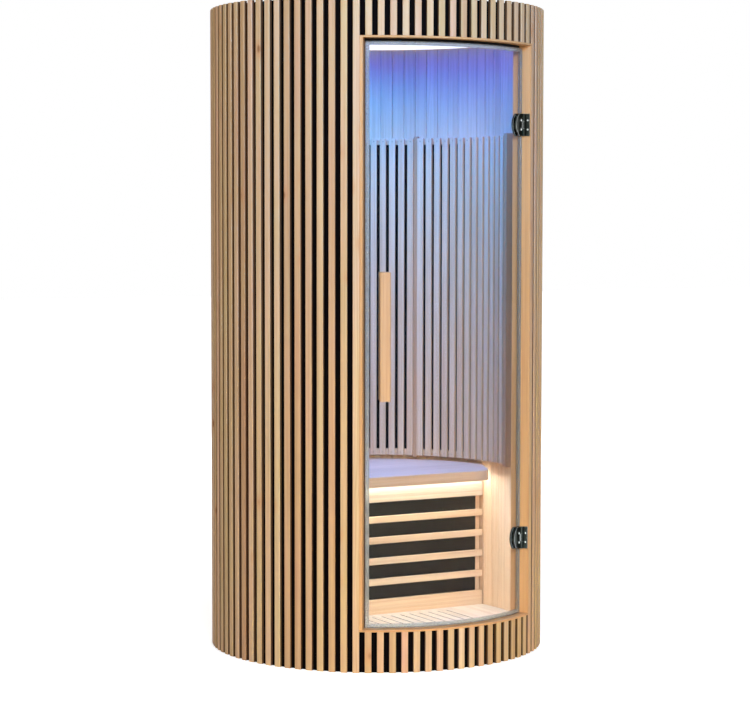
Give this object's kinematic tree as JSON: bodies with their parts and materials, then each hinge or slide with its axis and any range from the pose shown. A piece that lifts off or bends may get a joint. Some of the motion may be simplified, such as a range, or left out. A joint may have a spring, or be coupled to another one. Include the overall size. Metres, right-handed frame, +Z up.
{
  "type": "round slatted infrared sauna cabin",
  "caption": "Round upright sauna cabin clad in vertical wooden slats, with a curved hinged glass door, a bench and slatted backrests over heaters inside.",
  "frame": {"origin": "centre of the cabin's base, on the floor", "axes": "+Z up along the cabin's axis, doorway centred on -Y, door hinged on the +X side"},
  "size_m": [1.05, 1.05, 2],
  "materials": {
    "base_board": "planed softwood board",
    "floor_board": "planed softwood board",
    "duckboard": "pale sanded softwood",
    "backing": "matt black stained board",
    "lining": "clear tongued softwood boards",
    "outer_slats": "planed softwood, satin, varied from slat to slat",
    "door_frame": "planed softwood",
    "roof_board": "planed softwood boards",
    "ceiling_board": "clear softwood boards",
    "light_cover": "white diffuser, lit",
    "seat": "sanded softwood",
    "bench_wood": "sanded softwood",
    "heater": "dark carbon heating film under a satin cover",
    "backrest": "sanded softwood",
    "hinge_metal": "polished chrome",
    "door_glass": "clear tempered glass, curved",
    "seal": "translucent grey edge profile",
    "handle_wood": "sanded softwood"
  },
  "bodies": {
    "cabin": {"base_panel": "base_board", "floor_panel": "floor_board", "duckboard": "duckboard", "backing_right_front": "backing", "backing_right_back": "backing", "backing_left_back": "backing", "backing_left_front": "backing", "backing_over_door": "backing", "backing_under_door": "backing", "lining_right_front": "lining", "lining_right_back": "lining", "lining_left_back": "lining", "lining_left_front": "lining", "lining_over_door": "lining", "lining_under_door": "lining", "slats_right_front": "outer_slats", "slats_right_back": "outer_slats", "slats_left_back": "outer_slats", "slats_left_front": "outer_slats", "slats_over_door": "outer_slats", "slats_under_door": "outer_slats", "jamb_right": "door_frame", "jamb_left": "door_frame", "lintel": "door_frame", "sill": "door_frame", "roof_panel": "roof_board", "ceiling_panel": "ceiling_board", "ceiling_light": "light_cover", "bench_seat": "seat", "bench_frame": "bench_wood", "bench_bars": "bench_wood", "bench_heater": "heater", "bench_light": "light_cover", "bench_bearer": "bench_wood", "backrest_posts": "backrest", "backrest_right_side": "backrest", "backrest_right_back": "backrest", "backrest_left_back": "backrest", "backrest_left_side": "backrest", "back_heaters": "heater", "hinge_leaves": "hinge_metal"},
    "door": {"door_glass": "door_glass", "door_seal": "seal", "door_handles": "handle_wood", "hinge_clamps": "hinge_metal"}
  },
  "joints": [
    {"name": "door_swing", "type": "hinge", "parent": "cabin", "child": "door", "pos_m": [0.27569, -0.42453, 1], "axis": [0, 0, 1], "range_deg": [0, 90]}
  ]
}
